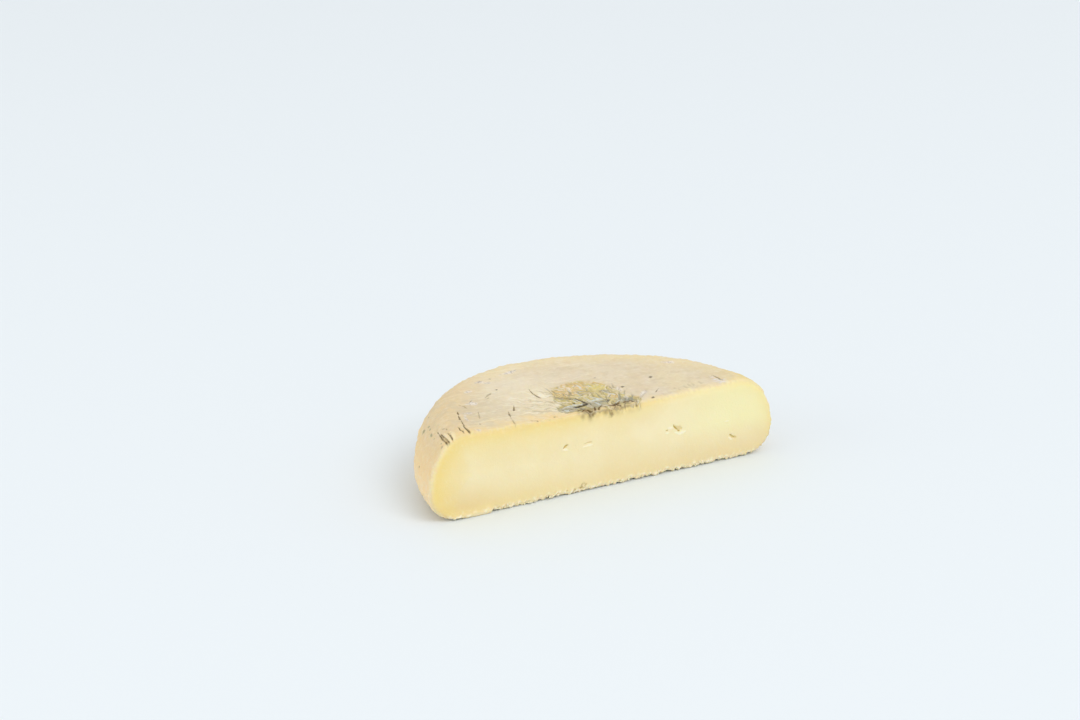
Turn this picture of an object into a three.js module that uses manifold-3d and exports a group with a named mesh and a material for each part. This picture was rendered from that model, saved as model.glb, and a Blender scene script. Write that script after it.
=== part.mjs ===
// Half a wheel of young pecorino, a single piece of cheese.
// Millimetres, +Z up. The knife cut runs along X and faces -Y, and the piece stands on its flat base.
// Places on the cheese are measured from the axis of the whole wheel, at the height of the base.

import * as THREE from "three";
import { mergeVertices } from "three/addons/utils/BufferGeometryUtils.js";
import { ImprovedNoise } from "three/addons/math/ImprovedNoise.js";
import Module from "manifold-3d";

// Driving dimensions of the wheel
const WHEEL_RADIUS = 90; // at the widest ring of the heel
const WHEEL_HEIGHT = 39.7; // at the rim of the top
const BULGE_HEIGHT = 13.3; // of the widest ring above the base
const SHOULDER_INSET = 18.5; // from the widest ring in to the rim of the top
const FOOT_INSET = 15; // from the widest ring in to the rim of the base
const TOP_DISH = 1.2; // how far the middle of the top has sunk
const CUT_BEHIND_CENTRE = 3.2; // the knife passed this far behind the axis
const TOP_RIM = WHEEL_RADIUS - SHOULDER_INSET;

// How the soft wheel has settled out of true: shares of the radius, and shares of the height at the heel
const OVAL = { twofold: 0.0068, threefold: -0.0066, fourfold: 0.014 };
const LEAN = { right: -0.016, back: -0.013 };

// Low waves of the rind, which fade out towards the flat base
const WAVE = { depth: 0.55, length: 19, fadeHeight: 6 };

// Sunken, broken patch of rind where blue mould has grown, open to the cut
const HOLLOW = { x: 2, y: 21, across: 38, along: 40, depth: 1.1, lip: 0.14, bump: 0.6, bumpLength: 5 };

// Eyes in the paste that the knife opened: place on the cut face, size, and tilt in degrees
const EYE_DEPTH = 3.4;
const EYES = [
  { x: -21.7, z: 24.3, wide: 3, high: 1.6, tilt: 20 },
  { x: 32.1, z: 21.4, wide: 1.8, high: 1, tilt: 25 },
  { x: 38.4, z: 21.8, wide: 6, high: 2.2, tilt: -28 },
  { x: 68.5, z: 11.9, wide: 4.4, high: 1.3, tilt: -26 },
];

// Dents left by straw on the upper rind: plan position of both ends, and width
const STRAW_DENT_DEPTH = 0.55;
const STRAW_DENTS = [
  { from: [-78.6, 17.7], to: [-80.5, 3.2], wide: 1.8 },
  { from: [-76.7, 10.8], to: [-77.9, 3.6], wide: 1.3 },
  { from: [-71.4, 11.4], to: [-71.7, 5.8], wide: 1.2 },
  { from: [-68.3, 13], to: [-69.6, 3.2], wide: 1.4 },
  { from: [-62.3, 29.6], to: [-66.4, 20.2], wide: 1.3 },
  { from: [-34.8, 26.4], to: [-38.9, 19.6], wide: 1.3 },
  { from: [-42, 17.7], to: [-47.6, 3.9], wide: 1.3 },
  { from: [-20.8, 36], to: [-20.4, 30], wide: 1.4 },
  { from: [65.2, 14], to: [65.2, 8.3], wide: 1.5 },
];

// The knife tore the skin of the base away along the lower edge of the cut, less of it at the left end
const TEAR = { depth: 2.2, pitch: 2.1, below: 1 };
const TEAR_STRETCHES = [
  { from: -82, to: -60, high: [0.05, 0.45] },
  { from: -60, to: 84, high: [0.45, 1.45] },
];

// Crumbs that cling to the foot of the cut face
const CRUMB = { count: 12, reach: 74, size: [0.9, 1.9], height: [1.8, 4.4], proud: 0.25 };

// Crumbled upper edge of the cut where it passes through the mould
const CRUMBLE = { from: -15, to: 17, pitch: 2.6, wide: [2, 3.6], high: [1, 2.4], deep: [1.4, 3] };

// Fineness of the faceted surface, and how far the corners of a broken lump are drawn in
const LUMP_ROUGHNESS = 0.33;
const WHEEL_SEGMENTS = 132;
const RINGS = { dish: 17, shoulder: 10, foot: 7 };
const SEED = 41;

// Pale, dull cheese
const CHEESE_COLOUR = 0xf1e3b6;
const CHEESE_ROUGHNESS = 0.62;

const wasm = await Module();
wasm.setup();
const perlin = new ImprovedNoise();
THREE.MathUtils.seededRandom(SEED);

// Random draws
function between([low, high]) {
  return low + (high - low) * THREE.MathUtils.seededRandom();
}

// Geometry to solid and back
function sealed(geometry) {
  geometry.deleteAttribute("normal");
  geometry.deleteAttribute("uv");
  return mergeVertices(geometry);
}

function solidOf(geometry) {
  const closed = sealed(geometry);
  return new wasm.Manifold(
    new wasm.Mesh({
      numProp: 3,
      vertProperties: closed.getAttribute("position").array,
      triVerts: new Uint32Array(closed.index.array),
    }),
  );
}

function geometryOf(solid) {
  const mesh = solid.getMesh();
  const geometry = new THREE.BufferGeometry();
  geometry.setAttribute("position", new THREE.BufferAttribute(mesh.vertProperties, mesh.numProp));
  geometry.setIndex(new THREE.BufferAttribute(mesh.triVerts, 1));
  geometry.computeVertexNormals();
  return geometry;
}

// The settled wheel
function roundness(angle) {
  return (
    1 +
    OVAL.twofold * Math.sin(2 * angle) +
    OVAL.threefold * Math.cos(3 * (angle - Math.PI / 2)) +
    OVAL.fourfold * Math.sin(4 * angle)
  );
}

function heightShare(x, y) {
  return 1 + (LEAN.right * x + LEAN.back * y) / WHEEL_RADIUS;
}

function settle(point) {
  const share = roundness(Math.atan2(point.y, point.x));
  point.x *= share;
  point.y *= share;
  point.z *= heightShare(point.x, point.y);
}

// Height of the upper rind over a place on the plan, for what is pressed into it
function rindHeight(x, y) {
  const radius = Math.hypot(x, y) / roundness(Math.atan2(y, x));
  const past = Math.max(0, radius - TOP_RIM) / SHOULDER_INSET;
  const dish = TOP_DISH * Math.max(0, 1 - (radius / TOP_RIM) ** 2);
  const shoulder = (WHEEL_HEIGHT - BULGE_HEIGHT) * (1 - Math.sqrt(Math.max(0, 1 - past ** 2)));
  return (WHEEL_HEIGHT - dish - shoulder) * heightShare(x, y);
}

// Outline of the wheel from the axis on its base, out round the heel, to the axis on its top
function wheelProfile() {
  const quarter = Math.PI / 2;
  const foot = new THREE.EllipseCurve(
    WHEEL_RADIUS - FOOT_INSET, BULGE_HEIGHT, FOOT_INSET, BULGE_HEIGHT, -quarter, 0,
  );
  const shoulder = new THREE.EllipseCurve(
    TOP_RIM, BULGE_HEIGHT, SHOULDER_INSET, WHEEL_HEIGHT - BULGE_HEIGHT, 0, quarter,
  );
  const dish = new THREE.QuadraticBezierCurve(
    new THREE.Vector2(TOP_RIM, WHEEL_HEIGHT),
    new THREE.Vector2(TOP_RIM / 2, WHEEL_HEIGHT - TOP_DISH),
    new THREE.Vector2(0, WHEEL_HEIGHT - TOP_DISH),
  );
  return [
    new THREE.Vector2(0, 0),
    ...foot.getPoints(RINGS.foot),
    ...shoulder.getPoints(RINGS.shoulder).slice(1),
    ...dish.getPoints(RINGS.dish).slice(1),
  ];
}

function rindWave(point) {
  const fade = THREE.MathUtils.smoothstep(point.z, 0, WAVE.fadeHeight);
  const at = point.clone().divideScalar(WAVE.length);
  return fade * WAVE.depth * perlin.noise(at.x, at.y, at.z);
}

// How far the mouldy patch lies below the rind round it, with bumps on its floor
function hollowDepth(x, y) {
  const across = (x - HOLLOW.x) / (HOLLOW.across / 2);
  const along = (y - HOLLOW.y) / (HOLLOW.along / 2);
  const out = Math.hypot(across, along);
  const inside = 1 - THREE.MathUtils.smoothstep(out, 1 - HOLLOW.lip, 1 + HOLLOW.lip);
  const bump = HOLLOW.bump * perlin.noise(x / HOLLOW.bumpLength, y / HOLLOW.bumpLength, 0);
  return inside * (HOLLOW.depth + bump);
}

function wheel() {
  const lathe = new THREE.LatheGeometry(wheelProfile(), WHEEL_SEGMENTS);
  lathe.rotateX(Math.PI / 2);
  const body = sealed(lathe);
  body.computeVertexNormals();
  const places = body.getAttribute("position");
  const normals = body.getAttribute("normal");
  for (let i = 0; i < places.count; i++) {
    const point = new THREE.Vector3().fromBufferAttribute(places, i);
    const outwards = new THREE.Vector3().fromBufferAttribute(normals, i);
    point.addScaledVector(outwards, rindWave(point));
    if (point.z > BULGE_HEIGHT) point.z -= hollowDepth(point.x, point.y);
    settle(point);
    places.setXYZ(i, point.x, point.y, point.z);
  }
  return solidOf(body);
}

// Everything in front of the knife
function knifeWaste() {
  const size = 3 * WHEEL_RADIUS;
  const waste = new THREE.BoxGeometry(size, size, size);
  waste.translate(0, CUT_BEHIND_CENTRE - size / 2, 0);
  return solidOf(waste);
}

// A rough lump that fills its width, depth and height
function lump(wide, deep, high) {
  const rough = sealed(new THREE.IcosahedronGeometry(0.5));
  const corners = rough.getAttribute("position");
  for (let i = 0; i < corners.count; i++) {
    const corner = new THREE.Vector3().fromBufferAttribute(corners, i);
    corner.multiplyScalar(1 - between([0, LUMP_ROUGHNESS]));
    corners.setXYZ(i, corner.x, corner.y, corner.z);
  }
  rough.rotateZ(between([0, Math.PI]));
  rough.rotateX(between([0, Math.PI]));
  rough.scale(wide, deep, high);
  return rough;
}

function eye({ x, z, wide, high, tilt }) {
  const slit = new THREE.IcosahedronGeometry(0.5, 1);
  slit.scale(wide, EYE_DEPTH, high);
  slit.rotateY(THREE.MathUtils.degToRad(-tilt));
  slit.translate(x, CUT_BEHIND_CENTRE, z);
  return solidOf(slit);
}

function strawDent({ from, to, wide }) {
  const start = new THREE.Vector3(...from, rindHeight(...from));
  const end = new THREE.Vector3(...to, rindHeight(...to));
  const run = end.clone().sub(start);
  const dent = new THREE.IcosahedronGeometry(0.5, 1);
  dent.scale(run.length(), wide, 2 * STRAW_DENT_DEPTH);
  dent.rotateY(-Math.asin(run.z / run.length()));
  dent.rotateZ(Math.atan2(run.y, run.x));
  const middle = start.add(end).multiplyScalar(0.5);
  dent.translate(middle.x, middle.y, middle.z);
  return solidOf(dent);
}

// A long wedge with a ragged edge, high in front of the cut and running out on the base behind it
function tornSkin({ from, to, high }) {
  const teeth = Math.round((to - from) / TEAR.pitch);
  const heights = Array.from({ length: teeth + 1 }, () => between(high));
  const wedge = new THREE.BoxGeometry(to - from, 2 * TEAR.depth, 2 * TEAR.below, teeth);
  const corners = wedge.getAttribute("position");
  for (let i = 0; i < corners.count; i++) {
    const tooth = Math.round((corners.getX(i) / (to - from) + 0.5) * teeth);
    const isUpper = corners.getZ(i) > 0;
    const isFront = corners.getY(i) < 0;
    const upperHeight = isFront ? 2 * heights[tooth] : 0;
    corners.setZ(i, isUpper ? upperHeight : -TEAR.below);
  }
  wedge.translate((from + to) / 2, CUT_BEHIND_CENTRE, 0);
  return solidOf(wedge);
}

// Lumps fallen out of the upper edge of the cut, in the mould
function crumbledEdge() {
  const gaps = [];
  for (let x = CRUMBLE.from; x <= CRUMBLE.to; x += CRUMBLE.pitch) {
    const gap = lump(between(CRUMBLE.wide), 2 * between(CRUMBLE.deep), 2 * between(CRUMBLE.high));
    gap.translate(x, CUT_BEHIND_CENTRE, rindHeight(x, CUT_BEHIND_CENTRE) - HOLLOW.depth);
    gaps.push(solidOf(gap));
  }
  return gaps;
}

function clingingCrumbs() {
  const crumbs = [];
  for (let i = 0; i < CRUMB.count; i++) {
    const size = between(CRUMB.size);
    const crumb = lump(size, size, size);
    const y = CUT_BEHIND_CENTRE + size / 2 - CRUMB.proud - between([0, CRUMB.proud]);
    crumb.translate(between([-CRUMB.reach, CRUMB.reach]), y, between(CRUMB.height));
    crumbs.push(solidOf(crumb));
  }
  return crumbs;
}

function halfWheel() {
  let cheese = wheel().subtract(knifeWaste());
  const tornAway = TEAR_STRETCHES.map(tornSkin);
  const removed = [...EYES.map(eye), ...STRAW_DENTS.map(strawDent), ...tornAway, ...crumbledEdge()];
  for (const piece of removed) cheese = cheese.subtract(piece);
  for (const crumb of clingingCrumbs()) cheese = cheese.add(crumb);
  // A crumb or sliver that hangs on nothing is dropped
  const bodies = cheese.decompose();
  return bodies.reduce((largest, body) => (body.volume() > largest.volume() ? body : largest));
}

// The origin is under the middle of the piece, on the surface that it stands on
function standOnOrigin(geometry) {
  geometry.computeBoundingBox();
  const middle = geometry.boundingBox.getCenter(new THREE.Vector3());
  geometry.translate(-middle.x, -middle.y, -geometry.boundingBox.min.z);
  return geometry;
}

const finish = new THREE.MeshStandardMaterial({ color: CHEESE_COLOUR, roughness: CHEESE_ROUGHNESS });
const cheese = new THREE.Mesh(standOnOrigin(geometryOf(halfWheel())), finish);
cheese.name = "half_wheel";

const pecorino = new THREE.Group();
pecorino.add(cheese);

export default pecorino;
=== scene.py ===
# %% [markdown]
# # Half a wheel of young pecorino
# A small flat cheese, cut in two: one piece of food, so one mesh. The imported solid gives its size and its
# place. This lesson gives it what a solid with few faces can't hold: the grain of the rind, the dents that
# straw left in it, the sunken spot of blue mould, the soft paste with its eyes, and the ragged lower edge.

# %% Load the solid cheese
import math
import random
from functools import reduce

import bmesh
import bpy
import numpy as np
from mathutils import Color, Matrix, Vector, kdtree, noise


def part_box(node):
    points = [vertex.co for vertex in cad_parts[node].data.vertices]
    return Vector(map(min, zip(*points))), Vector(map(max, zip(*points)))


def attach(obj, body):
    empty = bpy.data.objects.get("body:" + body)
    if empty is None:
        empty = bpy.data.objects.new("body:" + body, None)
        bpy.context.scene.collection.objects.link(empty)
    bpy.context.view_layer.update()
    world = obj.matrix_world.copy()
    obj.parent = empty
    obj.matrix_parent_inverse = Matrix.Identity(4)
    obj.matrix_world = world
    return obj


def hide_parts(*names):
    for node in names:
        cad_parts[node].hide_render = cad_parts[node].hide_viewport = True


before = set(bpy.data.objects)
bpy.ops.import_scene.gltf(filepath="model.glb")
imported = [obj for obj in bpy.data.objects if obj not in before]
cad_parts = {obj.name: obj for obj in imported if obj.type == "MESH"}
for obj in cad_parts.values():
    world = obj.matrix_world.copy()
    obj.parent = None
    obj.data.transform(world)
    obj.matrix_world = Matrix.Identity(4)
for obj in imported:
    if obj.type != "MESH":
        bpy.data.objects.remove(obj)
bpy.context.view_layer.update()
MM = 0.001
solid_low, solid_high = [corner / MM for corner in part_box("half_wheel")]
print("solid cheese, mm:", [round(side, 1) for side in solid_high - solid_low])

# %% [markdown]
# ## The whole wheel
# A cheese like this sets in a round mould, so its section is the same all the way round: a flat base, a
# tight curve at the foot, a slow curve over the shoulder and a top that sinks a little as it ripens. A lathe
# curve with a Screw modifier would do, and so would a squashed cylinder. Spinning vertices is exact and
# short: one vertex carried through a quarter turn draws each curve, and the finished section is then carried
# once round the axis. Everything is in millimetres, measured from the axis of the wheel at the base.

# %% Draw the section and spin it
WHEEL_RADIUS = 90.0
WHEEL_HEIGHT = 39.7
BULGE_HEIGHT = 13.3
SHOULDER_INSET = 18.5
FOOT_INSET = 15.0
TOP_RIM = WHEEL_RADIUS - SHOULDER_INSET
BASE_RIM = WHEEL_RADIUS - FOOT_INSET
CURVE_STEPS = 24
TURN_STEPS = 240
CLOSE = 0.01
UP = Vector((0, 0, 1))
TO_FRONT = Vector((0, -1, 0))


def round_corner(bm, start, centre, rise):
    """Carries a vertex through a quarter turn about a centre, then stretches the curve to its rise."""
    known = set(bm.verts)
    turn = {"cent": centre, "axis": TO_FRONT, "dvec": (0, 0, 0), "angle": math.pi / 2}
    end = bmesh.ops.spin(bm, geom=[start], steps=CURVE_STEPS, **turn)["geom_last"]
    curve = [vert for vert in bm.verts if vert not in known]
    stretch = rise / (centre - start.co).length
    pivot = Matrix.Translation((0, 0, -start.co.z))
    bmesh.ops.scale(bm, vec=(1, 1, stretch), space=pivot, verts=curve)
    return next(part for part in end if isinstance(part, bmesh.types.BMVert))


def run_to_axis(bm, start):
    """Draws a straight edge from the section to the axis."""
    line = bmesh.ops.extrude_vert_indiv(bm, verts=[start])
    line["verts"][0].co.x = 0
    return line["edges"]


wheel = bmesh.new()
base_rim = wheel.verts.new((BASE_RIM, 0, 0))
bulge = round_corner(wheel, base_rim, base_rim.co + FOOT_INSET * UP, BULGE_HEIGHT)
top_rim = round_corner(wheel, bulge, Vector((TOP_RIM, 0, BULGE_HEIGHT)), WHEEL_HEIGHT - BULGE_HEIGHT)
flat_sides = run_to_axis(wheel, base_rim) + run_to_axis(wheel, top_rim)
bmesh.ops.subdivide_edges(wheel, edges=flat_sides, cuts=CURVE_STEPS)
section = wheel.verts[:] + wheel.edges[:]
full_turn = {"cent": (0, 0, 0), "axis": UP, "dvec": (0, 0, 0), "angle": math.tau}
bmesh.ops.spin(wheel, geom=section, steps=TURN_STEPS, use_merge=True, **full_turn)
bmesh.ops.remove_doubles(wheel, verts=wheel.verts, dist=CLOSE)
bmesh.ops.recalc_face_normals(wheel, faces=wheel.faces)
print("whole wheel:", len(wheel.faces), "faces")

# %% [markdown]
# ## Settling and cutting
# A soft cheese doesn't stay a true wheel. It goes a little out of round on its shelf and its top leans. Both
# are small shares of the radius, so they are simple sums on each vertex. Then the knife: bisect_plane cuts
# the mesh and clears the front half, and one face closes the cut. The outline of the cut is kept, because
# the yellow band under the rind follows it.

# %% Settle the wheel and cut it
TOP_DISH = 1.2
OVAL_TWO = 0.0068
OVAL_THREE = -0.0066
OVAL_FOUR = 0.014
LEAN_RIGHT = -0.016
LEAN_BACK = -0.013
CUT = 3.2


def roundness(angle):
    """Share of the true radius that the settled wheel has in a direction."""
    two = OVAL_TWO * np.sin(2 * angle)
    three = OVAL_THREE * np.cos(3 * (angle - math.pi / 2))
    return 1 + two + three + OVAL_FOUR * np.sin(4 * angle)


def lean(x, y):
    """Share of the true height that the settled wheel has at a place on the plan."""
    return 1 + (LEAN_RIGHT * x + LEAN_BACK * y) / WHEEL_RADIUS


def settle(vert):
    """Moves a vertex of the true wheel to its place in the settled one."""
    radius = math.hypot(vert.co.x, vert.co.y)
    if vert.co.z > BULGE_HEIGHT:
        vert.co.z -= TOP_DISH * max(0, 1 - (radius / TOP_RIM) ** 2)
    share = roundness(math.atan2(vert.co.y, vert.co.x))
    vert.co.x *= share
    vert.co.y *= share
    vert.co.z *= lean(vert.co.x, vert.co.y)


for vert in wheel.verts:
    settle(vert)
whole = wheel.verts[:] + wheel.edges[:] + wheel.faces[:]
bmesh.ops.bisect_plane(wheel, geom=whole, plane_co=(0, CUT, 0), plane_no=TO_FRONT, clear_outer=True)
open_edges = [edge for edge in wheel.edges if edge.is_boundary]
cut_outline = [(edge.verts[0].co + edge.verts[1].co) / 2 for edge in open_edges]
bmesh.ops.holes_fill(wheel, edges=open_edges, sides=0)
bmesh.ops.recalc_face_normals(wheel, faces=wheel.faces)
print("half wheel closed:", all(edge.is_manifold for edge in wheel.edges))

# %% [markdown]
# ## An even skin
# The spun faces are long at the heel and needle thin at the axis, and the cut is a single face. Relief needs
# small faces of one size everywhere, so a voxel Remesh rebuilds the skin as a net of squares about a
# millimetre wide. It also takes the hard edge off the cut, as a knife does in soft paste.

# %% Rebuild the skin in small squares
SKIN_STEP = 1.0


def as_object(bm, name):
    mesh = bpy.data.meshes.new(name)
    bm.to_mesh(mesh)
    bm.free()
    piece = bpy.data.objects.new(name, mesh)
    bpy.context.scene.collection.objects.link(piece)
    return piece


cheese = as_object(wheel, "cheese")
remesh = cheese.modifiers.new("even_skin", "REMESH")
remesh.mode = "VOXEL"
remesh.voxel_size = SKIN_STEP
evaluated = cheese.evaluated_get(bpy.context.evaluated_depsgraph_get())
skin = bpy.data.meshes.new_from_object(evaluated)
cheese.modifiers.clear()
cheese.data = skin
print("even skin:", len(skin.polygons), "squares")

# %% [markdown]
# ## Where the marks are
# The photograph shows the piece from above the cut, so each mark can be placed: on the plan for what lies on
# the rind, and on the cut face for what the knife opened. Straw from the ripening shelf left short strokes,
# some dark and some faint, and a lilac bloom grew in patches. These short lists are all that is given one by
# one: each stroke is its width and the places that it passes, from its thin end on.

# %% List the marks on the rind
STRAW = [
    (0.5, (-77.7, 19.5), (-79.7, 10.8), (-80.7, 2.6)),
    (0.5, (-78.1, 15.5), (-79.1, 8.7), (-79.7, 2.4)),
    (0.55, (-76.6, 11.4), (-77.2, 7.6), (-78.1, 3.2)),
    (0.35, (-76.8, 10.1), (-75.7, 9.8)),
    (0.55, (-71.2, 12.6), (-71.9, 8.6), (-72.0, 4.4)),
    (0.8, (-68.4, 12.6), (-69.1, 8.0), (-69.3, 3.2)),
    (0.35, (-66.3, 19.0), (-68.1, 12.0)),
    (0.65, (-64.4, 25.2), (-66.3, 19.4)),
    (0.7, (-62.9, 28.8), (-64.0, 26.0)),
    (0.7, (-41.9, 19.8), (-44.0, 13.9)),
    (0.55, (-35.6, 26.2), (-37.4, 22.6)),
    (0.7, (-37.4, 22.6), (-38.8, 20.2)),
    (0.35, (-19.4, 41.4), (-20.6, 35.0)),
    (0.65, (-20.5, 35.5), (-19.9, 28.9)),
    (0.6, (64.2, 15.6), (64.8, 11.4), (64.9, 7.0)),
    (0.35, (34.4, 14.6), (30.4, 10.9)),
]
# Straws that left only a faint trace
FAINT_STRAW = [
    (0.45, (-53.9, 26.0), (-55.7, 21.8), (-57.5, 17.6)),
    (0.6, (-60.2, 12.6), (-60.9, 10.6)),
    (0.5, (-44.6, 12.6), (-46.9, 3.2)),
    (0.6, (-52.7, 37.1), (-49.6, 40.2)),
    (0.5, (-58.1, 36.9), (-56.9, 35.0), (-56.2, 32.1)),
    (0.9, (-42.7, 40.4), (-39.9, 42.8), (-37.5, 44.5)),
    (0.5, (-43.6, 38.2), (-41.0, 40.0)),
    (0.5, (-37.6, 59.4), (-33.8, 59.8)),
    (0.5, (-16.6, 64.8), (-12.7, 65.6)),
    (0.45, (-76.2, 18.6), (-75.2, 16.4)),
    (0.4, (-74.9, 16.6), (-75.4, 14.6)),
    (1.0, (-78.0, 15.6), (-79.5, 9.4), (-80.2, 3.4)),
]
# Patches of lilac bloom
LILAC = [
    (2.9, (-54.4, 36.2), (-49.8, 35.8)),
    (1.6, (-51.5, 38.6), (-50.4, 34.2)),
    (1.8, (-48.2, 49.4), (-44.6, 50.8)),
    (2.0, (-37.8, 59.2), (-33.5, 59.4)),
    (1.8, (-34.2, 57.6), (-31.2, 56.4)),
    (1.8, (-22.3, 63.8), (-17.0, 64.4), (-13.4, 65.2)),
    (1.6, (-65.2, 6.8), (-64.2, 4.4)),
    (1.5, (-60.9, 26.3), (-57.2, 26.0)),
    (1.8, (21.2, 9.2), (24.5, 12.5), (27.8, 15.2)),
    (0.9, (-60.4, 27.2), (-62.7, 21.6), (-64.1, 15.9)),
    (1.6, (52.9, 42.6), (55.3, 41.1), (57.8, 38.6)),
    (2.0, (18.6, 25.4), (17.4, 19.8)),
]
# Specks of mould, the radius and the place: first the dark ones, then the faint green ones
DARK_SPECKS = [
    (1.3, (38.8, 28.3)), (1.4, (26.0, 5.9)), (1.2, (20.4, 23.8)), (0.9, (15.0, 39.7)), (0.7, (-32.8, 47.8)),
    (0.6, (-29.1, 61.5)), (0.7, (-35.1, 4.4)), (0.6, (-26.2, 5.3)), (0.7, (-85.5, 22.4)),
]
GREEN_SPECKS = [
    (1.6, (-76.6, 35.6)), (0.9, (-76.5, 29.5)), (0.9, (-78.9, 23.3)), (0.8, (-80.3, 17.5)),
    (0.7, (-81.2, 8.9)), (0.8, (-70.6, 42.4)), (0.7, (-75.3, 33.0)), (0.8, (-82.2, 6.2)),
]
print("marks on the rind:", len(STRAW + FAINT_STRAW), "straws,", len(DARK_SPECKS + GREEN_SPECKS), "specks")

# %% List the marks in the mould and on the cut
# Ovals on the plan are given by their middle and their reach
MOULD_OVAL = ((1.5, 21.5), (16.5, 19.0))
DARK_MOULD = [
    (1.2, (-6.0, 21.6), (-4.8, 17.6), (-4.0, 14.2)),
    (1.5, (-13.6, 12.6), (-10.4, 12.2), (-7.2, 12.6), (-3.9, 13.8)),
    (0.5, (-10.2, 26.6), (-5.8, 20.2)),
    (0.7, (-9.8, 17.8), (-9.0, 16.6)),
    (0.8, (0.4, 12.6), (1.0, 11.4)),
    (0.6, (5.4, 13.6), (6.4, 12.4)),
]
# The smear along the edge, browner than the mould
BROWN_SMEAR = [
    (1.3, (-9.6, 5.8), (-11.4, 5.5), (-12.6, 7.6)),
    (1.7, (-12.0, 5.6), (-9.6, 5.8), (-7.2, 4.1)),
    (1.1, (-3.6, 8.2), (-5.8, 4.0)),
    (0.8, (0.2, 8.7), (-2.2, 6.8), (-3.6, 4.4)),
    (1.4, (3.2, 7.0), (4.9, 5.4), (8.6, 7.7)),
    (0.8, (6.2, 4.4), (8.2, 4.4)),
    (0.8, (10.8, 7.4), (13.3, 8.0), (15.4, 5.4)),
]
GREY_MOULD = [
    (0.6, (-14.5, 31.0), (-11.9, 25.8), (-6.7, 18.2)),
    (0.7, (-8.5, 28.0), (-6.4, 18.7)),
    (0.5, (-17.7, 37.7), (-12.5, 31.4)),
    (0.5, (-12.4, 41.4), (-12.1, 32.0)),
    (0.6, (-18.1, 23.9), (-14.0, 16.6)),
    (0.8, (16.0, 13.3), (12.9, 8.6)),
    (0.8, (17.3, 12.7), (14.1, 7.9)),
    (0.8, (18.6, 12.0), (15.6, 7.6)),
    (0.8, (10.2, 25.5), (11.0, 21.3)),
    (0.8, (16.8, 20.8), (11.3, 11.0)),
    (0.7, (5.3, 22.8), (5.0, 12.8)),
    (0.7, (-0.9, 16.3), (4.4, 11.7)),
]
# Pale blue-white threads: partly milky mould, partly painted glints beside the dark threads
PALE_MOULD_AND_GLINTS = [
    (1.2, (-16.8, 13.6), (-13.5, 14.4), (-10.1, 14.4), (-6.4, 14.2)),
    (0.7, (-1.9, 23.2), (-1.3, 16.8), (4.7, 14.9)),
    (0.6, (0.8, 20.0), (3.9, 14.0)),
    (1.1, (-17.6, 11.4), (-16.4, 9.4)),
    (0.6, (3.4, 37.1), (3.2, 31.9)),
    (0.6, (8.0, 34.6), (7.9, 30.5)),
    (0.9, (11.1, 19.9), (12.4, 17.3)),
    (0.9, (16.1, 25.1), (17.2, 21.5)),
]
RUST_LINES = [(0.7, (-5.2, 38.8), (0.9, 39.8), (8.8, 38.4), (14.2, 33.1), (16.6, 26.8))]
# Soft fields of colour in the mould
OCHRE_FIELDS = [
    ((0.0, 35.0), (9.0, 6.5)), ((-7.0, 30.0), (7.0, 6.0)),
    ((11.5, 16.4), (2.4, 2.6)), ((20.3, 11.9), (2.0, 3.0)),
]
LEMON_FIELDS = [((11.7, 30.6), (6.5, 6.0)), ((18.7, 15.0), (3.4, 3.2))]
SLATE_FIELDS = [
    ((-15.0, 11.5), (6.0, 4.5)), ((11.1, 24.0), (2.8, 2.6)),
    ((14.5, 10.0), (5.0, 4.0)), ((-1.0, 12.0), (7.0, 5.0)),
]
# Eyes on the cut face, along x and z: half the height of the slit, and the places that it passes
EYES = [
    (0.4, (-22.8, 23.4), (-22.0, 23.9), (-20.4, 24.9)),
    (0.4, (31.4, 21.4), (32.6, 21.6)),
    (0.45, (35.6, 24.2), (35.9, 23.0), (36.8, 21.9), (38.0, 20.9)),
    (0.4, (37.9, 20.6), (39.0, 20.1)),
    (0.35, (66.4, 12.9), (67.8, 12.5)),
    (0.4, (67.6, 12.6), (68.6, 11.6), (69.6, 11.0)),
]
# Golden hollows round the slits
HOLLOWS = [
    (1.0, (-22.8, 23.6), (-21.8, 24.2), (-20.2, 24.9)),
    (0.45, (-12.2, 23.4), (-10.2, 23.9), (-8.0, 23.9)),
    (1.3, (36.2, 23.2), (37.5, 21.9), (40.0, 21.1)),
    (0.9, (67.0, 12.4), (68.6, 11.4), (70.4, 10.8)),
]
# Lips that the knife dragged up beside the eyes, painted pale as a painted highlight
LIPS = [
    (0.8, (-23.2, 24.2), (-22.8, 23.0), (-20.6, 22.4)),
    (0.8, (-12.6, 22.2), (-10.5, 22.5), (-7.6, 22.6)),
    (0.7, (31.2, 20.4), (33.2, 20.2)),
    (1.0, (32.6, 22.8), (35.0, 22.4)),
    (1.1, (36.2, 20.0), (39.0, 18.8), (42.2, 19.4)),
    (0.8, (66.4, 11.6), (68.0, 10.3)),
    (0.5, (63.8, 20.0), (66.0, 20.0)),
]
print("marks:", len(DARK_MOULD + GREY_MOULD + PALE_MOULD_AND_GLINTS), "threads of mould,", len(EYES), "eyes")

# %% [markdown]
# ## Marks on the far side
# The heel at the back was on the same straw, so it has the same kinds of mark. Nothing shows where they were,
# so a seeded draw lays them: the same seed gives the same cheese each time. A point on the heel is found from
# its direction and its height, by the same curves that the section was spun from.

# %% Draw the straws and specks of the heel
SEED = 7
draw = random.Random(SEED)
# From one direction to another, in radians
HIDDEN_HEEL = (0.12, 2.5)
HEEL_STRAW_COUNT = 22
HEEL_STRAW_HEIGHTS = (16, 37)
HEEL_STRAW_FALLS = (0, 5)
HEEL_STRAW_WIDTHS = (0.4, 0.9)
# The mean and the spread, in radians
HEEL_STRAW_SLANTS = (0.04, 0.03)
HEEL_SPECK_COUNT = 14
HEEL_SPECK_HEIGHTS = (4, 36)
HEEL_SPECK_SIZES = (0.5, 1.1)


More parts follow.
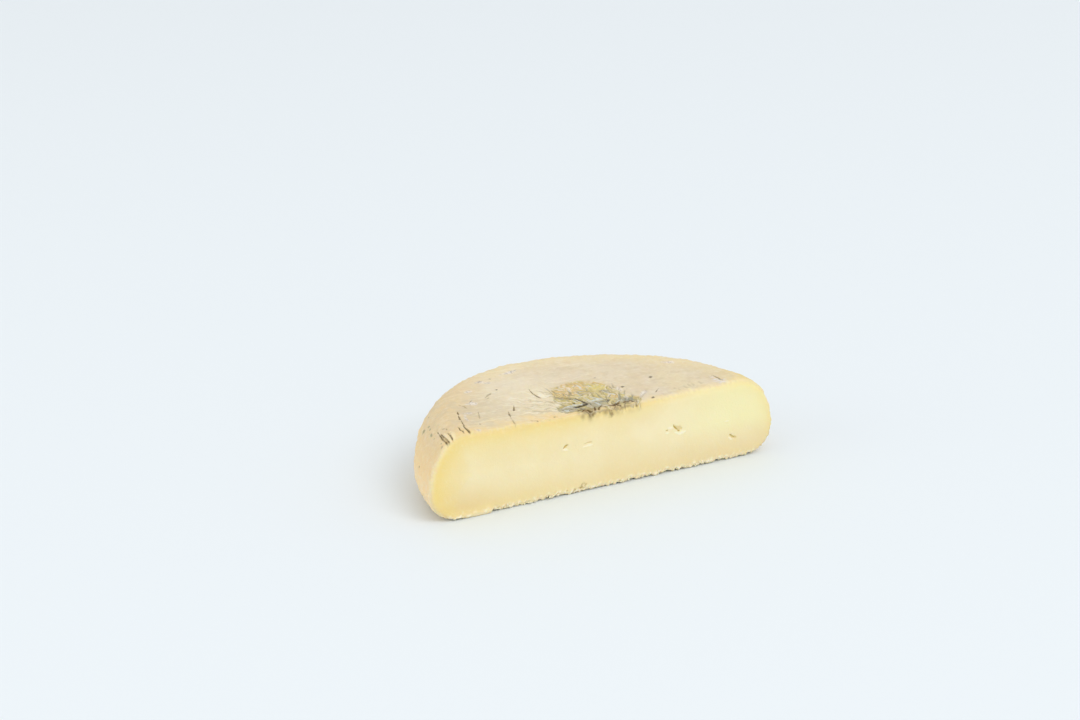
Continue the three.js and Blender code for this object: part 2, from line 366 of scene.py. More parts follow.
def rind_height(x, y):
    """Height of the settled upper rind over a place on the plan."""
    radius = np.hypot(x, y) / roundness(np.arctan2(y, x))
    past = np.clip((radius - TOP_RIM) / SHOULDER_INSET, 0, 1)
    dish = TOP_DISH * np.clip(1 - (radius / TOP_RIM) ** 2, 0, 1)
    shoulder = (WHEEL_HEIGHT - BULGE_HEIGHT) * (1 - np.sqrt(1 - past**2))
    return (WHEEL_HEIGHT - dish - shoulder) * lean(x, y)


def heel_point(angle, height):
    """The place on the heel in a direction, at a height over the base."""
    above = height > BULGE_HEIGHT
    inset, rise = (SHOULDER_INSET, WHEEL_HEIGHT - BULGE_HEIGHT) if above else (FOOT_INSET, BULGE_HEIGHT)
    radius = WHEEL_RADIUS - inset * (1 - math.sqrt(1 - ((height - BULGE_HEIGHT) / rise) ** 2))
    radius *= roundness(angle)
    return radius * math.cos(angle), radius * math.sin(angle), height


def heel_straw():
    """Draws one straw mark on the heel."""
    angle = draw.uniform(*HIDDEN_HEEL)
    height = draw.uniform(*HEEL_STRAW_HEIGHTS)
    end_angle = angle + draw.gauss(*HEEL_STRAW_SLANTS)
    end = heel_point(end_angle, height - draw.uniform(*HEEL_STRAW_FALLS))
    return draw.uniform(*HEEL_STRAW_WIDTHS), heel_point(angle, height), end


heel_straws = [heel_straw() for _ in range(HEEL_STRAW_COUNT)]


def on_upper_rind(specks):
    """Gives specks on the plan their height."""
    return [(size, (*spot, float(rind_height(*spot)))) for size, spot in specks]


def heel_specks(count):
    """Draws specks on the heel: all the places first, then the sizes."""
    spots = [heel_point(draw.uniform(*HIDDEN_HEEL), draw.uniform(*HEEL_SPECK_HEIGHTS)) for _ in range(count)]
    return [(draw.uniform(*HEEL_SPECK_SIZES), spot) for spot in spots]


dark_specks = on_upper_rind(DARK_SPECKS) + heel_specks(HEEL_SPECK_COUNT)
green_specks = on_upper_rind(GREEN_SPECKS) + heel_specks(HEEL_SPECK_COUNT)
print("heel:", len(heel_straws), "straws;", len(dark_specks + green_specks), "specks in all")

# %% [markdown]
# ## Finer squares under the marks
# A mark a millimetre wide needs faces smaller than itself. Halving every square would make four times as
# many, so only the squares near a mark or a broken edge are divided, with subdivide_edges, and those in the
# mould, the eyes and the straw marks that show once more. The flat base shows nothing, so its squares are
# dissolved into one face.

# %% Tell where finer squares are needed
RIND_DEPTH = 2.0
CUT_DEPTH = 1.0
EDGE_DEPTH = 2.5
FOOT_EDGE = 4.0
TOP_EDGE = 3.0
MARK_MARGIN = 0.8
STRAW_MARGIN = 1.0
FINE_STRAW_MARGIN = 0.5
HEEL_STRAW_MARGIN = 1.2
MOULD_MARGIN = 1.25
CREASED_X, CREASED_Y, CREASED_REACH = -10, 20, 26


def ramp(value, start, end):
    """Eases from 0 at start to 1 at end."""
    share = np.clip((value - start) / (end - start), 0, 1)
    return share * share * (3 - 2 * share)


def from_stroke(spots, route):
    """Distance of each spot from a stroke of straight runs, and its share of the way along, from 0 to 1."""
    nearest = np.full(len(spots), np.inf)
    share = np.zeros(len(spots))
    for step, (start, end) in enumerate(zip(route, route[1:])):
        first = np.array(start)
        run = np.array(end) - first
        along = np.clip((spots - first) @ run / (run @ run), 0, 1)
        aside = np.linalg.norm(spots - first - along[:, None] * run, axis=1)
        share = np.where(aside < nearest, (step + along) / (len(route) - 1), share)
        nearest = np.minimum(nearest, aside)
    return nearest, share


def near_strokes(strokes, spots, margin):
    """Tells the spots that lie on a stroke or within a margin of it."""
    near = np.zeros(len(spots), bool)
    for width, *route in strokes:
        near |= from_stroke(spots, route)[0] < width + margin
    return near


def from_oval(plan, middle, reach):
    """Distance from the middle of an oval, 1 at its rim."""
    return np.linalg.norm((plan - np.array(middle)) / np.array(reach), axis=1)


def is_upper(places):
    return places[:, 2] > rind_height(*places[:, :2].T) - RIND_DEPTH


def at_eyes(places):
    on_face = places[:, 1] < CUT + CUT_DEPTH
    return on_face & near_strokes(EYES + HOLLOWS + LIPS, places[:, [0, 2]], MARK_MARGIN)


def at_marks(places):
    """Tells the places that are near a mark or a broken edge."""
    x, y, z = places.T
    near = is_upper(places) & (np.hypot(x - CREASED_X, y - CREASED_Y) < CREASED_REACH)
    near |= (y < CUT + EDGE_DEPTH) & ((z < FOOT_EDGE) | (z > rind_height(x, y) - TOP_EDGE))
    near |= is_upper(places) & near_strokes(STRAW + FAINT_STRAW, places[:, :2], STRAW_MARGIN)
    near |= near_strokes(heel_straws, places, HEEL_STRAW_MARGIN) | at_eyes(places)
    for size, spot in dark_specks + green_specks:
        near |= np.linalg.norm(places - np.array(spot), axis=1) < size + MARK_MARGIN
    return near


def at_fine_marks(places):
    """Tells the places in the mould, the eyes and the straw marks that the photograph shows."""
    plan = places[:, :2]
    fine = from_oval(plan, *MOULD_OVAL) < MOULD_MARGIN
    fine |= near_strokes(STRAW + FAINT_STRAW, plan, FINE_STRAW_MARGIN)
    return (is_upper(places) & fine) | at_eyes(places)


print("finer squares: mould, eyes, straws, specks and edges")

# %% Divide the squares
BASE_MARGIN = 6.0
FACING_DOWN = -0.99


def divide(net, needs_finer):
    """Divides the squares that the test picks, each into four."""
    net.verts.index_update()
    finer = needs_finer(np.array([vert.co[:] for vert in net.verts]))
    edges = [edge for edge in net.edges if all(finer[vert.index] for vert in edge.verts)]
    bmesh.ops.subdivide_edges(net, edges=edges, cuts=1, use_grid_fill=True)
    bmesh.ops.triangulate(net, faces=[face for face in net.faces if len(face.verts) > 4])


def read_vectors(points, name):
    """Reads a vector from every vertex, as rows of an array."""
    flat = np.empty(3 * len(points))
    points.foreach_get(name, flat)
    return flat.reshape(-1, 3)


net = bmesh.new()
net.from_mesh(skin)
base_faces = [
    face for face in net.faces
    if face.normal.z < FACING_DOWN and face.calc_center_median().y > CUT + BASE_MARGIN
    and face.calc_center_median().length < BASE_RIM - BASE_MARGIN
]
bmesh.ops.dissolve_faces(net, faces=base_faces, use_verts=True)
divide(net, at_marks)
divide(net, at_fine_marks)
net.to_mesh(skin)
net.free()
place = read_vectors(skin.vertices, "co")
skin.calc_loop_triangles()
print("skin:", len(skin.loop_triangles), "triangles,", len(place), "vertices")

# %% [markdown]
# ## The outline of the cut
# Two things follow the outline: crumbly roughness along the edge, and the yellow band that the rind gives the
# paste. A KD tree finds the nearest point of the outline for every vertex, and so the distance from it.

# %% Measure the distance from the outline of the cut
outline_tree = kdtree.KDTree(len(cut_outline))
for index, point in enumerate(cut_outline):
    outline_tree.insert(point, index)
outline_tree.balance()
nearest = [outline_tree.find((px, CUT, pz)) for px, pz in place[:, [0, 2]].tolist()]
from_outline = np.array([found[2] for found in nearest])
outline_x, outline_z = np.array([found[0].xz for found in nearest]).T
print("outline of the cut:", len(cut_outline), "points")

# %% [markdown]
# ## The fan of the mould
# The threads of the mould and the creases beside it open from the cut like a fan. Two numbers say where a
# vertex is in that fan: the angle, and the distance from the root. Noise that is read at those two numbers,
# stretched along the second, makes threads that spread as they go out. The shader reads them too.

# %% Measure the fan
x, y, z = place.T.copy()
plan = place[:, :2].copy()
FAN_LEFT = np.array((-1.0, 5.0))
FAN_RIGHT = np.array((8.0, -8.0))
FAN_CROSSING = (-6, 12)
FAN_SPREAD = 18.0
FAN_WAVER = 1.6


def lumps(points, size, seed):
    """Soft random lumps from -1 to 1, about as far apart as size says, in one number or one for each axis."""
    return np.array([noise.noise(spot) for spot in (points / np.array(size) + seed).tolist()])


fan_root = FAN_LEFT + ramp(x, *FAN_CROSSING)[:, None] * (FAN_RIGHT - FAN_LEFT)
fan_x, fan_y = (plan - fan_root).T
fan_angle = np.arctan2(fan_x, fan_y)
fan_far = np.hypot(fan_x, fan_y)
waver = FAN_WAVER * lumps(place, size=5, seed=2.2)
fan_place = np.stack([FAN_SPREAD * fan_angle + waver, fan_far + 2 * waver, 0 * x], 1)
hairs = lumps(fan_place, size=(1.0, 8, 1), seed=3.7)
print("fan reaches", round(float(fan_far.max())), "mm")

# %% [markdown]
# ## The lie of the rind
# The rind of a young pecorino is dry and thin. It has low waves from the cloth and the hands that turned it,
# and a fine grain that shows as tiny bumps along the outline. Beside the mould the skin has crept into
# creases. A Displace modifier could lift it, but arrays let each relief have its own place, so the noise is
# read at every vertex and the vertices are moved along their normals.

# %% Lift the waves and the grain of the rind
WAVE_RISE = 0.45
RIPPLE_RISE = 0.18
BUMP_RISE = 0.4
SHOULDER_RISE = 0.25
GRAIN_RISE = 0.16
CREASE_DEPTH = 0.15
FAN_CREASE_DEPTH = 0.45
outwards = read_vectors(skin.vertex_normals, "vector")
on_cut = ramp(y, CUT + 0.9, CUT + 0.15)
on_base = ramp(outwards[:, 2], -0.6, -0.95) * ramp(z, 1.5, 0.4)
on_rind = (1 - on_cut) * (1 - on_base)
upper = on_rind * ramp(outwards[:, 2], 0.3, 0.7)
shoulder = on_rind * ramp(np.hypot(x, y), 56, 76)
waves = WAVE_RISE * lumps(place, size=19, seed=3.1) + RIPPLE_RISE * lumps(place, size=7, seed=8.4)
bumps = np.clip(lumps(place, size=2.3, seed=1.7), 0, 1)
grain = (BUMP_RISE + SHOULDER_RISE * shoulder) * bumps + GRAIN_RISE * lumps(place, size=1.9, seed=5.2)
creased = ramp(x, -46, -26) * ramp(x, 0, -10) * ramp(y, 46, 28) * upper
CREASE_RUN = np.array((0.872, -0.489))
CREASE_STEP = np.array((0.489, 0.872))
crease_place = np.stack([plan @ CREASE_RUN, plan @ CREASE_STEP, z], 1)
fine_creases = -CREASE_DEPTH * np.abs(lumps(crease_place, size=(9, 1.9, 30), seed=2.6))
fan_creases = -FAN_CREASE_DEPTH * np.abs(lumps(fan_place, size=(1.5, 9, 1), seed=6.2))
lift = on_rind * ramp(z, 0, 6) * (waves + grain) + upper * (fine_creases + creased * fan_creases)
at_edge = ramp(from_outline, 1.8, 0.2) * ramp(y, CUT + 2.2, CUT + 0.3)
crumbly = 0.15 + 0.85 * ramp(outline_x, 60, 80) * ramp(outline_z, 30, 20)
edge_grain = 0.7 * lumps(place, size=1.5, seed=3.6) + 0.4 * lumps(place, size=0.9, seed=7.1)
lift += at_edge * crumbly * edge_grain
print("rind relief, mm:", round(float(lift.min()), 2), "to", round(float(lift.max()), 2))

# %% [markdown]
# ## Dents of straw
# Each straw pressed a shallow groove, and dark mould settled in it. The same coverage, from 0 to 1, sinks the
# groove here and colours it later, so colour and shape can't drift apart. Noise breaks up the edges.

# %% Sink the straw dents
STRAW_DEPTH = 0.35
FAINT = 0.5
HEEL_FAINT = 0.7
RAGGED = 0.6
wobble = 0.3 * lumps(place, size=1.3, seed=4.4) + 0.25 * lumps(place, size=4, seed=6.1)


def cover(strokes, spots):
    """How much of each spot the strokes cover: thin where they start, thickest past the middle."""
    covered = np.zeros(len(spots))
    for width, *route in strokes:
        aside, along = from_stroke(spots, route)
        reach = width * (0.35 + 0.65 * ramp(along, 0, 0.6) * ramp(along, 1.05, 0.8))
        covered = np.maximum(covered, ramp(aside + RAGGED * wobble * width, reach, 0.3 * reach))
    return covered


def cover_specks(specks):
    """How much of each vertex the specks cover."""
    covered = np.zeros(len(place))
    for size, spot in specks:
        away = np.linalg.norm(place - np.array(spot), axis=1)
        covered = np.maximum(covered, ramp(away + 2 * wobble * size, size, 0.4 * size))
    return covered


dark_speck = cover_specks(dark_specks) * on_rind
green_speck = cover_specks(green_specks) * on_rind
patchy = np.clip(0.95 + 0.7 * lumps(place, size=1.8, seed=2.5), 0.55, 1)
below_rind = rind_height(x, np.maximum(y, CUT)) - z
near_top = ramp(below_rind, 6, 0)
seen_straw = np.maximum(cover(STRAW, plan), FAINT * cover(FAINT_STRAW, plan)) * near_top
straw = np.maximum(seen_straw, HEEL_FAINT * cover(heel_straws, place)) * patchy
lift -= STRAW_DEPTH * straw * on_rind
print("straw covers", round(100 * float(straw.mean()), 2), "% of the vertices")

# %% [markdown]
# ## The mouldy spot
# Blue mould has eaten a round patch by the cut. The skin there has sunk and broken into threads along the
# fan. The long threads that the photograph shows are in the lists. Between them the seeded draw lays short
# ones: grey, milky, brown and dark in the patch, faint ones beside it, and a row of faint hatching along the
# edge at the right.

# %% Draw the short threads
FAN_MIDDLE = Vector((1.0, 0.0))
THREAD_LEAN = 0.8
THREAD_WANDER = 0.3
THREAD_HALVES = (1.0, 3.0)
THREAD_WIDTHS = (0.3, 0.6)


def fan_thread(far, angle):
    """Draws one short thread at a distance and an angle from the root of the fan."""
    spot = FAN_MIDDLE + far * Vector((math.sin(angle), math.cos(angle)))
    lie = THREAD_LEAN * angle + draw.gauss(0, THREAD_WANDER)
    half = draw.uniform(*THREAD_HALVES) * Vector((math.sin(lie), math.cos(lie)))
    bend = spot + Vector((draw.gauss(0, THREAD_WANDER), draw.gauss(0, THREAD_WANDER)))
    return draw.uniform(*THREAD_WIDTHS), tuple(spot + half), tuple(bend), tuple(spot - half)


def fan_threads(count, near, far, left, right):
    """Draws threads over a sector of the fan, evenly over its area."""
    spots = [math.sqrt(draw.uniform(near**2, far**2)) for _ in range(count)]
    return [fan_thread(spot, draw.uniform(left, right)) for spot in spots]


grey_threads = GREY_MOULD + fan_threads(40, near=7, far=32, left=-1.4, right=1.2)
pale_threads = PALE_MOULD_AND_GLINTS + fan_threads(16, near=8, far=38, left=-1.3, right=1.1)
brown_threads = fan_threads(40, near=7, far=40, left=-1.4, right=1.2)
dark_threads = fan_threads(12, near=8, far=26, left=-1.4, right=-0.3)
dark_threads += fan_threads(12, near=5, far=18, left=0.2, right=1.3)
faint_threads = fan_threads(26, near=22, far=40, left=-1.6, right=-0.4)
faint_threads.append((0.5, (28.8, 15.6), (25.8, 13.1), (21.4, 8.5)))
HATCH_COUNT = 6
# Along x and y: where the hatching starts, how far it steps and how far it strays
HATCH_LAYOUT = [(37.5, 3.3, 0.9), (5.5, 0.7, 0.7)]
HATCH_WIDTHS = (0.5, 1.1)
HATCH_LENGTHS = (2.5, 5.0)
HATCH_SLANT = 0.8
for step in range(HATCH_COUNT):
    hatch_x, hatch_y = [begin + pace * step + draw.gauss(0, stray) for begin, pace, stray in HATCH_LAYOUT]
    width = draw.uniform(*HATCH_WIDTHS)
    back = (hatch_x, hatch_y + draw.uniform(*HATCH_LENGTHS))
    faint_threads.append((width, back, (hatch_x + HATCH_SLANT, hatch_y)))
print("threads:", len(grey_threads + pale_threads + brown_threads + dark_threads + faint_threads))

# %% Sink the mouldy spot
MOULD_DEPTH = 0.45
LOBES = [((-13.5, 11.0), (7.0, 5.5)), ((14.0, 9.0), (7.0, 6.5)), ((0.0, 6.0), (14.0, 6.0))]
edge_place = np.stack([x, 0 * x, 0 * x], 1)
rim = np.min([from_oval(plan, *oval) for oval in [MOULD_OVAL, *LOBES]], axis=0)
rim += 0.15 * lumps(place, size=6, seed=9.5) + 0.1 * lumps(place, size=2.4, seed=3.3) + 0.06 * hairs
front = CUT + 1.0 + 5 * lumps(edge_place, size=3.2, seed=6.9)
mould = ramp(rim, 1.1, 0.96) * near_top * ramp(y, front, front + 2.0)
beside = ramp(rim, 1.3, 1.0) * near_top
long_dark = cover(DARK_MOULD, plan) * np.sqrt(patchy) * near_top
dark_mould = np.maximum(long_dark, 0.5 * cover(dark_threads, plan) * beside)
smear_halo = [(2.4 * width, *route) for width, *route in BROWN_SMEAR]
smear = np.maximum(cover(BROWN_SMEAR, plan), 0.35 * cover(smear_halo, plan)) * near_top
grey_mould = np.maximum(cover(grey_threads, plan) * beside, 0.6 * cover(GREY_MOULD, plan) * near_top)
# Milky mould threads and painted glints
pale_mould_and_glint = cover(pale_threads, plan) * beside
brown_mould = cover(brown_threads, plan) * beside
faint_mould = cover(faint_threads, plan) * near_top
drop = mould * (MOULD_DEPTH + 0.3 * lumps(place, size=4, seed=6.6) + 0.4 * hairs)
drop += 0.3 * dark_mould + 0.2 * grey_mould - 0.25 * pale_mould_and_glint + 0.15 * faint_mould
print("mould covers", round(100 * float(mould.mean()), 1), "% of the vertices")

# %% [markdown]
# ## Eyes, and the torn and crumbled edges
# Gas left a few slit eyes in the paste. The knife dragged their lips up, and they are painted pale as a
# painted highlight. Along the base the skin tore and left small teeth, with a thin lip that reaches out at
# the left, and in the mould the upper edge crumbled. Here the vertices don't move along their normals: the
# eyes go back into the paste, the torn skin goes up, the lip comes forward and the crumbled edge falls.

# %% Open the eyes
EYE_DEPTH = 0.6
HOLLOW_SHARE = 0.4
LIP_RISE = 0.12
face_place = place[:, [0, 2]]
eye = np.maximum(cover(EYES, face_place), HOLLOW_SHARE * cover(HOLLOWS, face_place)) * on_cut
lip = cover(LIPS, face_place) * on_cut * (1 - eye)
push = EYE_DEPTH * eye - LIP_RISE * lip
print("eyes:", len(EYES))

# %% Tear the lower edge and crumble the upper one
FOOT = 6.0
TEAR_DEPTH = 5.0
BASE_SKIN = 3.0
FOOT_LIP = 1.2
# How high the torn edge hangs over the base, along x
TEAR = [
    (-84, 0.05), (-78, 0.3), (-60, 0.2), (-58.5, 1.4), (-54, 0.5), (-42, 0.25), (-30, 0.7), (0, 0.8),
    (30, 0.9), (32, 1.5), (35, 0.9), (58, 0.9), (60, 1.6), (63, 0.9), (80, 0.7), (84, 0),
]
tear = np.interp(x, *np.array(TEAR).T)
jags = 1.3 * lumps(edge_place, size=2.3, seed=4.8) + 0.9 * lumps(edge_place, size=1.1, seed=1.2)
teeth = np.clip(tear + (0.5 + 0.6 * tear) * jags, 0, None) * ramp(np.abs(x), 85, 80)
foot_of_cut = on_cut * np.clip(1 - z / FOOT, 0, 1)
edge_of_base = (1 - on_cut) * np.clip(1 - (y - CUT) / TEAR_DEPTH, 0, 1) * (z < BASE_SKIN)
raise_foot = teeth * (foot_of_cut + edge_of_base)
torn = on_cut * ramp(z, 4.5, 1.0)
crumbs_in_face = np.clip(lumps(place, size=1.6, seed=2.9), 0, 1)
push -= torn * (0.7 * crumbs_in_face - 0.15)
lip_stretch = ramp(x, -84, -77) * ramp(x, -57.5, -60.5)
push -= FOOT_LIP * lip_stretch * ramp(z, 5, 0.5) * ramp(y, CUT + 3, CUT)

off_edge = (y - CUT) + np.clip(below_rind, 0, None)
softer_right = 0.25 * ramp(x, 10, 45)
nicks = 0.5 + softer_right + 0.35 * lumps(edge_place, size=7, seed=2.3)
nicks += 0.15 * lumps(place, size=3, seed=6.4)
in_mould = ramp(x, -17, -12) * ramp(x, 20, 15)
worn = ramp(off_edge, 3.2 + 3 * softer_right, 0) * nicks * (1 - 0.4 * in_mould) * (z > FOOT)
gaps = 0.5 + 1.1 * lumps(edge_place, size=2.6, seed=7.7) + 0.5 * lumps(place, size=1.3, seed=1.1)
broken = ramp(off_edge, 3.4, 0.2) * in_mould * np.clip(gaps, 0, None)
drop += worn + 0.3 * broken
push += worn + 0.6 * broken
print("teeth up to", round(float(teeth.max()), 2), "mm")

# %% [markdown]
# ## The finished shape
# All the moves are added up once, so none of them reads a vertex that another has already moved. The right
# end swells a little past the true wheel, as its outline shows. Then the piece goes from the wheel's axis to
# the solid's place.

# %% Move the vertices and set the piece in its place
AXIS = Vector((-0.46, -46.05, 0))
RIGHT_FULLER = 0.9
cut_relief = on_cut * (0.06 * lumps(place, size=7, seed=2.4) + 0.035 * lumps(place, size=2.2, seed=9.1))
place = place + outwards * (lift + cut_relief)[:, None]
place[:, 0] += RIGHT_FULLER * ramp(x, 62, 86) * ramp(z, 6, 18) * ramp(z, 40, 33)
place[:, 1] += push
place[:, 2] = np.maximum(place[:, 2] + raise_foot - drop, 0)
skin.vertices.foreach_set("co", ((place + np.array(AXIS)) * MM).ravel())
skin.shade_smooth()
skin.update()
print("wheel axis from the middle of the piece, mm:", [round(part, 2) for part in AXIS])

# %% [markdown]
# ## Where each finish goes
# One material covers the cheese, and soft edges between rind, paste and mould come from attributes: numbers
# from 0 to 1 on every vertex, which the shader reads by name. Most are products of ramps, which start and end
# where the photograph shows it, in millimetres. The yellow band under the rind follows the distance from the
# outline of the cut. It is strong at the left and under the mould, and faint at the right. Some layers are
# painted light and shade: painted shade low on the paste and along its edge, a heel painted lighter, painted
# shade on the left of the top, and painted highlights on the lips of the eyes and in the mould.

# %% Measure the finishes, painted shade and painted highlight of the paste
EDGE_WIDTH = 1.9
BAND_WIDTH = 7.5
BAND_STRENGTH = 0.5
at_end = ramp(outline_x, -74, -82)
on_left = ramp(outline_x, 0, -40)
on_right = ramp(outline_x, 5, 50)
under_mould = np.exp(-((outline_x / 22) ** 2)) * ramp(outline_z, 20, 30)
on_lower = ramp(outline_z, 12, 4)
soft_edge = EDGE_WIDTH + 0.8 * at_end + 2 * ramp(outline_x, 15, 45)
ragged_edge = 1 + 0.9 * lumps(place, size=2.8, seed=3.7)
on_paste = ramp((y - CUT - 0.2) * ragged_edge, soft_edge, 0)
on_paste *= 0.5 + 0.5 * ramp(from_outline, 0, 1.2)
band_width = BAND_WIDTH + 2 * on_left + 3 * at_end - 2 * on_right
band_strength = BAND_STRENGTH + 0.3 * on_left + 0.1 * at_end - 0.35 * on_right + 0.2 * under_mould
band_strength += 0.25 * ramp(outline_x, 58, 78)
band_strength *= 1 - 0.6 * on_lower * (1 - 0.6 * at_end)
inside = 1 - 0.5 * at_end * (1 - ramp(from_outline, 0.5, 3))
butter = on_cut * np.exp(-((from_outline / band_width) ** 1.5)) * band_strength * inside
# Painted shade: the paste is darker and warmer towards the foot and at both ends, standing in for shade and
# for warm light thrown up from below
painted_shade = on_cut * ramp(z, 22, 2) * (0.45 + 0.25 * ramp(x, 20, 70) + 0.5 * ramp(x, -45, -75))
# Partly the paste's own deeper yellow near the rind, partly painted shade that darkens the band along the
# outline where it faces the key lamp
edge_tint_and_shade = ramp(from_outline, 4, 0.5) * ramp(z, FOOT, 2 * FOOT) * (1 - 0.7 * on_right) * (1 - at_end)
# Paler paste at the crumbled foot and the lowest 3 mm; on the lips of the eyes the paleness is a painted
# highlight
pale_and_highlight = 0.6 * lip + 0.7 * torn * ramp(crumbs_in_face, 0.05, 0.45) + 0.4 * on_cut * ramp(z, 3.0, 0.6)
lemon_paste = on_cut * ramp(x, 20, 75) * ramp(z, 6, 22)
print("butter band up to", round(float(butter.max()), 2))

# %% Measure the finishes, painted light and painted shade of the rind
CREAM_SPOTS = [
    (1.6, (-75.6, 11.0), (-77.4, 3.6)), (1.2, (-77.4, 13.0), (-78.9, 4.0)), (1.6, (-58.0, 3.2), (-50.0, 3.4)),
]
BLOOM_SPOTS = [(3.4, (62.4, 13.4), (63.4, 9.0), (65.8, 5.4))]
cream = 0.7 * cover(CREAM_SPOTS, plan) * upper
ragged_x = x + 10 * lumps(place, size=9, seed=5.9)
bare = on_rind * ramp(ragged_x, 61, 77) * ramp(y, 36, 8) * ramp(z, 14, 30)
left_warm = on_rind * np.maximum(ramp(ragged_x, -58, -76), shoulder * ramp(x, -22, -50)) * ramp(z, 12, 24)
warm_reach = 13 - 7 * ramp(x, 5, 25)
from_cut = (y - CUT + 6 * lumps(place, size=6, seed=1.9)) / warm_reach
warm = upper * ramp(from_cut, 1, 0.1) * (1 - 0.5 * ramp(x, 5, 40))
# The heel is painted lighter and more peach than the top: partly the rind's own peach tone, partly painted
# light and a warm painted reflection on the sides that stand in shade
heel = on_rind * ramp(outwards[:, 2], 0.75, 0.2)
streaky = 1 - 0.65 * ramp(x, 0, 30)
back_rim = shoulder * (1 - heel) * ramp(y, 5, 45) * ramp(x, -55, -20)
pale_back = upper * np.exp(-(((x + 22) / 24) ** 2) - ((y - 48) / 16) ** 2)
# Painted shade: a soft patch on the left of the top, darker and greyer, as on a facet turned from the light
facet_shade = upper * np.exp(-(((x + 58) / 17) ** 2) - ((y - 27) / 28) ** 2)
lilac = cover(LILAC, plan) * upper
bloom = cover(BLOOM_SPOTS, plan) * upper
print("rind: bare, warm, heel, back rim, dull and bloom")

# %% Measure the finishes of the mould
LONGEST_HANG = 3.2
DRIPS = [
    (0.9, (-7.4, 38.0), (-7.2, 36.0)), (0.7, (2.6, 37.5), (3.0, 33.8)), (0.7, (1.6, 37.5), (1.8, 35.5)),
    (0.8, (15.7, 38.5), (15.9, 36.6)), (0.6, (6.0, 38.6), (6.2, 37.0)),
]
STAINS = [
    (2.0, (-14.6, 2.4), (-10.6, 3.4)), (1.0, (-17.4, 1.6), (-16.2, 2.0)), (0.8, (-21.0, 1.8), (-20.5, 2.2)),
    (2.0, (2.2, 38.4), (2.6, 34.2)), (1.4, (-8.6, 38.4), (-7.0, 35.8)), (1.2, (15.8, 38.4), (15.9, 36.2)),
]


def fields(ovals):
    """How much of each vertex lies in soft oval fields on the plan."""
    covered = np.zeros(len(plan))
    for oval in ovals:
        away = from_oval(plan, *oval) + 0.4 * lumps(place, size=2.5, seed=4.6)
        covered = np.maximum(covered, ramp(away, 1.2, 0.5))
    return covered


hang = 0.6 + 2.6 * lumps(edge_place, size=3.0, seed=3.9) + 0.8 * lumps(edge_place, size=1.1, seed=7.0)
hang = np.clip(hang, 0, LONGEST_HANG)
fringe = on_cut * in_mould * ramp(x, -12, -6) * ramp(below_rind - 0.8, hang + 0.6, hang - 0.4)
fringe_line = fringe * ramp(np.abs(below_rind - 0.8 - hang + 0.5), 0.9, 0.3)
drip_line = np.maximum(0.35 * cover(DRIPS, face_place), 0.2 * fringe_line)
dark = np.maximum(np.maximum(dark_mould, on_cut * drip_line), 0.8 * dark_speck)
brown_stain = on_cut * cover(STAINS, face_place)
edge_smear = in_mould * ramp(off_edge, 7, 3) * np.clip(0.25 + 0.6 * lumps(place, size=2.4, seed=5.3), 0, 1)
smear = np.maximum(smear, edge_smear * near_top)
bloomed = ramp(x, 14, 17) * ramp(y, 17, 20)
mould_paint = np.maximum(mould * (1 - 0.8 * bloomed), 0.6 * fringe)
layers = dict(
    paste=on_paste, butter=butter, painted_shade=painted_shade, edge_tint_and_shade=edge_tint_and_shade, lemon_paste=lemon_paste,
    pale_and_highlight=np.clip(pale_and_highlight, 0, 1), eye=eye, brown_stain=brown_stain, smear=smear, bare=bare,
    left_warm=left_warm, warm=warm, heel=heel, back_rim=back_rim, pale_back=pale_back,
    facet_shade=facet_shade, bloom=bloom, lilac=lilac, cream=cream, creased=creased, streaky=streaky,
    straw=straw, green_speck=green_speck, dark=dark, mould=mould_paint,
    ochre=np.maximum(fields(OCHRE_FIELDS), 0.9 * fringe), lemon=fields(LEMON_FIELDS),
    slate=fields(SLATE_FIELDS) * (1 - fringe), rust=cover(RUST_LINES, plan) * beside,
    grey_mould=grey_mould, pale_mould_and_glint=pale_mould_and_glint, brown_mould=brown_mould,
    faint_mould=faint_mould,
)
print("mould: fringe covers", round(100 * float(fringe.mean()), 2), "% of the vertices")

# %% Paint the attributes


def paint(mesh, name, values):
    """Puts one number on every vertex, under a name that the shader can read."""
    layer = mesh.attributes.new(name, "FLOAT", "POINT")
    layer.data.foreach_set("value", values.astype(np.float32))


for name, values in layers.items():
    paint(skin, name, values)
fan_layer = skin.attributes.new("fan", "FLOAT_VECTOR", "POINT")
fan_layer.data.foreach_set("vector", (fan_place * MM).astype(np.float32).ravel())
print("attributes:", ", ".join(layers))

# %% [markdown]
# ## The material
# A Principled shader with a little subsurface light, because cheese is soft and waxy: light goes in and comes
# out nearby. The colours are layered as on the real piece, with painted light and shade among them. Each
# layer is a recipe of coats: a ground, then one row for each coat with its colour and its shares from 0 to 1,
# which are painted layers, noise on Object coordinates or plain numbers. A fine bump stands for what is
# smaller than the faces.

# %% Start the cheese material
material = bpy.data.materials.new("cheese")
material.use_nodes = True
tree = material.node_tree
shader = tree.nodes["Principled BSDF"]


def colour(tint):
    """A colour as a picture editor gives it, as the light values that Blender mixes. A socket stays."""
    if isinstance(tint, bpy.types.NodeSocket):
        return tint
    return (*Color([part / 255 for part in tint]).from_srgb_to_scene_linear(), 1)


def add(kind, sockets, **settings):
    """Adds a node, with its settings, and fills or links its sockets."""
    node = tree.nodes.new("ShaderNode" + kind)
    for name, value in settings.items():
        setattr(node, name, value)
    for socket, value in sockets.items():
        if isinstance(value, bpy.types.NodeSocket):
            tree.links.new(value, node.inputs[socket])
        else:
            node.inputs[socket].default_value = value
    return node


def painted(name):
    return add("Attribute", {}, attribute_name=name).outputs["Fac"]


def times(first, second):
    return add("Math", {0: first, 1: second}, operation="MULTIPLY").outputs[0]


